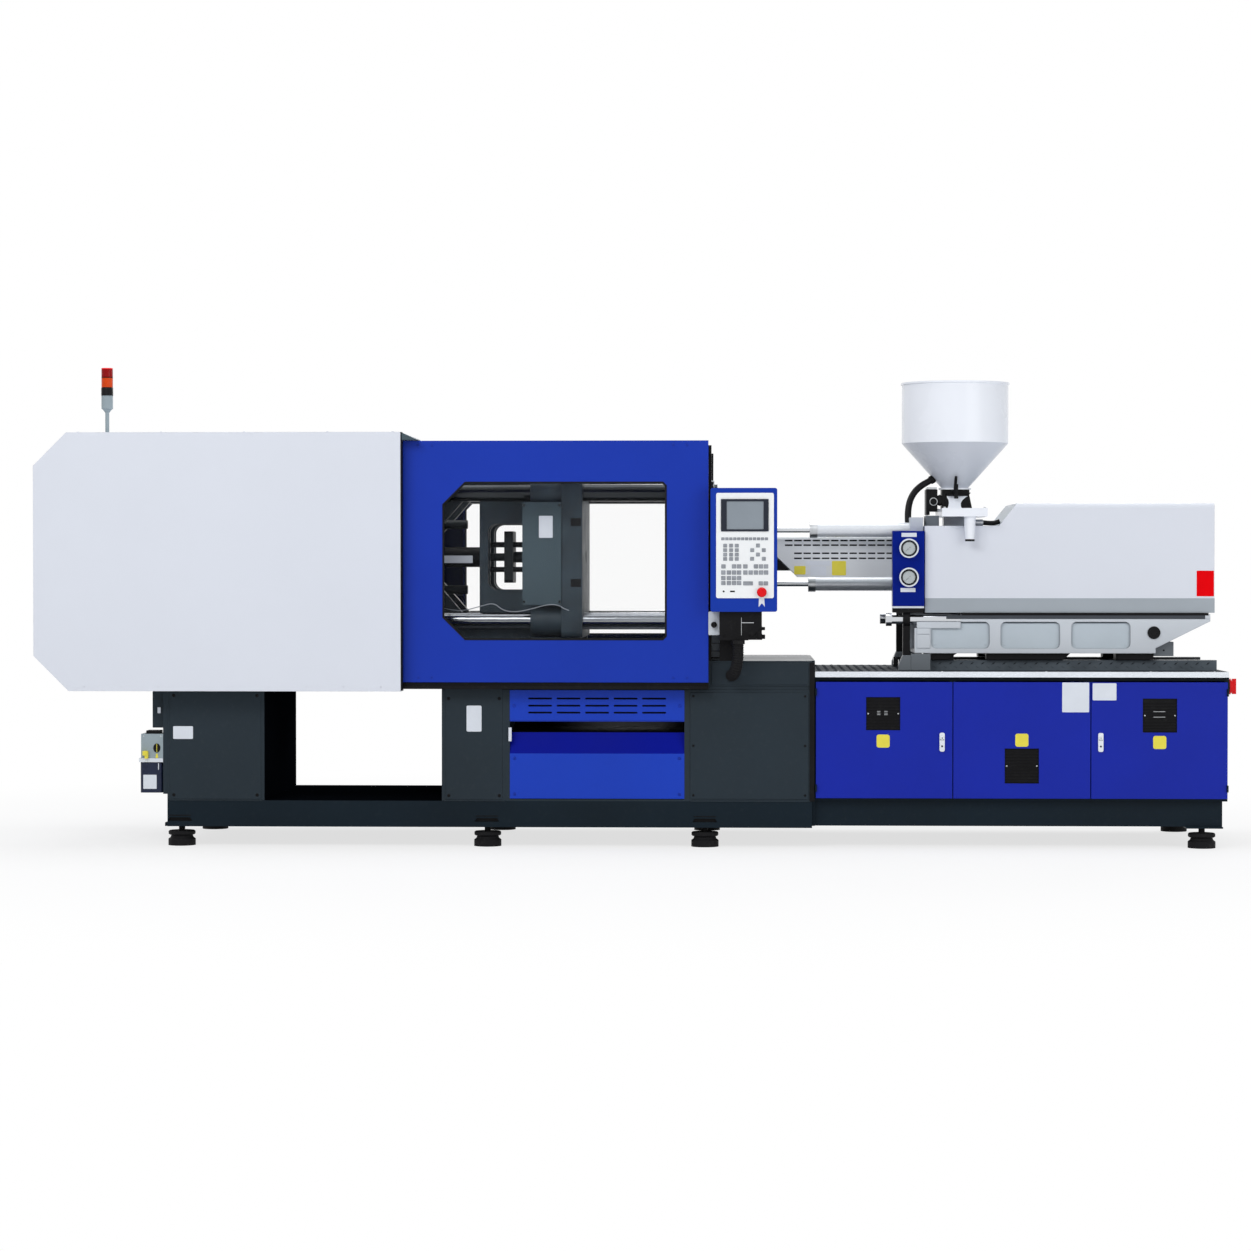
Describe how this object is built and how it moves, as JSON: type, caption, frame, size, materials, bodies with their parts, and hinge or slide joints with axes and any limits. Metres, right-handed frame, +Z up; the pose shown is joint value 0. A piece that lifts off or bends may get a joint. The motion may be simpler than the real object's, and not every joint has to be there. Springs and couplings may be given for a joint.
{
  "type": "injection moulding machine",
  "caption": "Horizontal toggle-clamp injection moulding machine with sliding gates, control panel, hopper and cowled injection unit.",
  "frame": {"origin": "on the floor under the middle of the machine's overall box", "axes": "+X along the machine from the clamp to the injection unit, +Y to the rear, +Z up"},
  "size_m": [5.332, 1.352, 2.148],
  "materials": {
    "dark_paint": "satin grey-green machine paint",
    "blue_paint": "gloss blue powder coat",
    "white_paint": "satin white powder coat",
    "cast_paint": "painted casting",
    "grey_paint": "satin grey paint",
    "black_paint": "satin black paint",
    "steel": "machined steel",
    "chrome": "hard chrome",
    "rubber": "black rubber",
    "clear": "clear polycarbonate",
    "white_plastic": "matt film keypad",
    "grey_plastic": "matt grey",
    "black_plastic": "matt black",
    "screen": "dark display",
    "red_plastic": "gloss red",
    "lens": "red and amber lenses",
    "dark_blue_plastic": "translucent oil tank"
  },
  "bodies": {
    "machine_base": {"clamp_base_frame": "dark_paint", "levelling_feet": "rubber", "chute_panels": "blue_paint", "clamp_cover_front": "white_paint", "clamp_cover_rear": "white_paint", "tower_light_stand": "grey_plastic", "tower_light_lenses": "lens", "tie_bars": "chrome", "fixed_platen": "cast_paint", "clamp_ways": "steel", "gate_rails": "black_paint", "control_panel_housing": "blue_paint", "control_panel_face": "white_plastic", "control_panel_screen": "screen", "control_panel_keys": "grey_plastic", "key_switch_box": "grey_paint", "panel_conduit": "rubber", "lubrication_pump": "grey_paint", "lubrication_reservoir": "dark_blue_plastic", "injection_base_frame": "black_paint", "bed_plate": "steel", "cabinet_middle_panel": "blue_paint", "carriage_rods": "chrome"},
    "tail_platen": {"tail_platen": "cast_paint", "adjusting_nuts": "steel", "clamp_cylinder": "cast_paint"},
    "upper_rear_link": {"upper_rear_link": "cast_paint"},
    "lower_rear_link": {"lower_rear_link": "cast_paint"},
    "upper_front_link": {"upper_front_link": "cast_paint"},
    "lower_front_link": {"lower_front_link": "cast_paint"},
    "upper_crank_link": {"upper_crank_link": "cast_paint"},
    "lower_crank_link": {"lower_crank_link": "cast_paint"},
    "crosshead": {"crosshead": "cast_paint"},
    "moving_platen": {"moving_platen": "cast_paint", "platen_side_cover": "grey_paint", "ejector_cylinder": "black_paint"},
    "ejector": {"ejector_plate": "steel"},
    "front_gate": {"front_gate": "blue_paint", "front_gate_window": "clear"},
    "rear_gate": {"rear_gate": "blue_paint", "rear_gate_window": "clear"},
    "carriage": {"carriage_base": "grey_paint", "injection_cowl": "white_paint", "barrel": "steel", "barrel_guard": "white_paint", "hopper": "white_paint", "hopper_throat": "white_paint", "gauge_panel": "blue_paint", "carriage_cylinders": "grey_paint", "injection_cylinders": "black_paint"},
    "screw_drive": {"drive_plate": "cast_paint"},
    "screw": {"screw": "steel"},
    "slide_gate": {"slide_gate": "black_plastic"},
    "emergency_stop": {"emergency_stop_button": "red_plastic"},
    "key_switch": {"key_switch_knob": "black_plastic"},
    "left_door": {"left_cabinet_door": "blue_paint"},
    "right_door": {"right_cabinet_door": "blue_paint"},
    "left_latch": {"left_door_latch": "white_plastic"},
    "right_latch": {"right_door_latch": "white_plastic"},
    "main_switch": {"main_switch_knob": "red_plastic"}
  },
  "joints": [
    {"name": "tail_platen_adjust", "type": "slide", "parent": "machine_base", "child": "tail_platen", "axis": [1, 0, 0], "range_m": [-0.12, 0.02]},
    {"name": "clamp_toggle", "type": "hinge", "parent": "tail_platen", "child": "upper_rear_link", "pos_m": [-1.19839, 0, 1.645], "axis": [0, 1, 0], "range_deg": [-45.87, 18.83]},
    {"name": "upper_knee", "type": "hinge", "parent": "upper_rear_link", "child": "upper_front_link", "pos_m": [-0.9857, 0, 1.39269], "axis": [0, 1, 0], "range_deg": [-37.66, 91.74]},
    {"name": "moving_platen_pivot", "type": "hinge", "parent": "upper_front_link", "child": "moving_platen", "pos_m": [-0.773, 0, 1.645], "axis": [0, 1, 0], "range_deg": [-45.87, 18.83]},
    {"name": "upper_crank", "type": "hinge", "parent": "upper_rear_link", "child": "upper_crank_link", "pos_m": [-1.12681, 0, 1.469], "axis": [0, 1, 0], "range_deg": [-37.66, 91.74]},
    {"name": "crosshead_pivot", "type": "hinge", "parent": "upper_crank_link", "child": "crosshead", "pos_m": [-1.05524, 0, 1.645], "axis": [0, 1, 0], "range_deg": [-45.87, 18.83]},
    {"name": "lower_rear_pivot", "type": "hinge", "parent": "tail_platen", "child": "lower_rear_link", "pos_m": [-1.19839, 0, 0.939], "axis": [0, 1, 0], "range_deg": [-18.83, 45.87]},
    {"name": "lower_knee", "type": "hinge", "parent": "lower_rear_link", "child": "lower_front_link", "pos_m": [-0.9857, 0, 1.19131], "axis": [0, 1, 0], "range_deg": [-91.74, 37.66]},
    {"name": "lower_crank", "type": "hinge", "parent": "lower_rear_link", "child": "lower_crank_link", "pos_m": [-1.12681, 0, 1.115], "axis": [0, 1, 0], "range_deg": [-91.74, 37.66]},
    {"name": "ejector_stroke", "type": "slide", "parent": "moving_platen", "child": "ejector", "axis": [1, 0, 0], "range_m": [0, 0.13]},
    {"name": "front_gate_slide", "type": "slide", "parent": "machine_base", "child": "front_gate", "axis": [-1, 0, 0], "range_m": [0, 1.15]},
    {"name": "rear_gate_slide", "type": "slide", "parent": "machine_base", "child": "rear_gate", "axis": [-1, 0, 0], "range_m": [0, 1.15]},
    {"name": "carriage_slide", "type": "slide", "parent": "machine_base", "child": "carriage", "axis": [1, 0, 0], "range_m": [-0.015, 0.25]},
    {"name": "injection_stroke", "type": "slide", "parent": "carriage", "child": "screw_drive", "axis": [1, 0, 0], "range_m": [0, 0.18]},
    {"name": "screw_turn", "type": "hinge", "parent": "screw_drive", "child": "screw", "pos_m": [1.9, 0, 1.292], "axis": [1, 0, 0], "continuous": true},
    {"name": "slide_gate_pull", "type": "slide", "parent": "carriage", "child": "slide_gate", "axis": [0, -1, 0], "range_m": [0, 0.08]},
    {"name": "emergency_stop_press", "type": "slide", "parent": "machine_base", "child": "emergency_stop", "axis": [0, 1, 0], "range_m": [0, 0.005], "stiffness_N_per_m": 800},
    {"name": "key_switch_turn", "type": "hinge", "parent": "machine_base", "child": "key_switch", "pos_m": [0.35, -0.6, 0.991], "axis": [0, 1, 0], "range_deg": [0, 90]},
    {"name": "left_door_hinge", "type": "hinge", "parent": "machine_base", "child": "left_door", "pos_m": [0.802, -0.526, 0.48], "axis": [0, 0, -1], "range_deg": [0, 105]},
    {"name": "right_door_hinge", "type": "hinge", "parent": "machine_base", "child": "right_door", "pos_m": [2.619, -0.526, 0.48], "axis": [0, 0, 1], "range_deg": [0, 105]},
    {"name": "left_latch_turn", "type": "hinge", "parent": "left_door", "child": "left_latch", "pos_m": [1.36, -0.52, 0.488], "axis": [0, 1, 0], "range_deg": [0, 90]},
    {"name": "right_latch_turn", "type": "hinge", "parent": "right_door", "child": "right_latch", "pos_m": [2.06, -0.52, 0.488], "axis": [0, -1, 0], "range_deg": [0, 90]},
    {"name": "main_switch_turn", "type": "hinge", "parent": "machine_base", "child": "main_switch", "pos_m": [2.64, -0.44, 0.716], "axis": [1, 0, 0], "range_deg": [0, 90]}
  ],
  "couplings": [
    {"joint": "upper_knee", "follows": "clamp_toggle", "ratio": -2},
    {"joint": "moving_platen_pivot", "follows": "clamp_toggle", "ratio": 1},
    {"joint": "upper_crank", "follows": "clamp_toggle", "ratio": -2},
    {"joint": "crosshead_pivot", "follows": "clamp_toggle", "ratio": 1},
    {"joint": "lower_rear_pivot", "follows": "clamp_toggle", "ratio": -1},
    {"joint": "lower_knee", "follows": "clamp_toggle", "ratio": 2},
    {"joint": "lower_crank", "follows": "clamp_toggle", "ratio": 2}
  ]
}
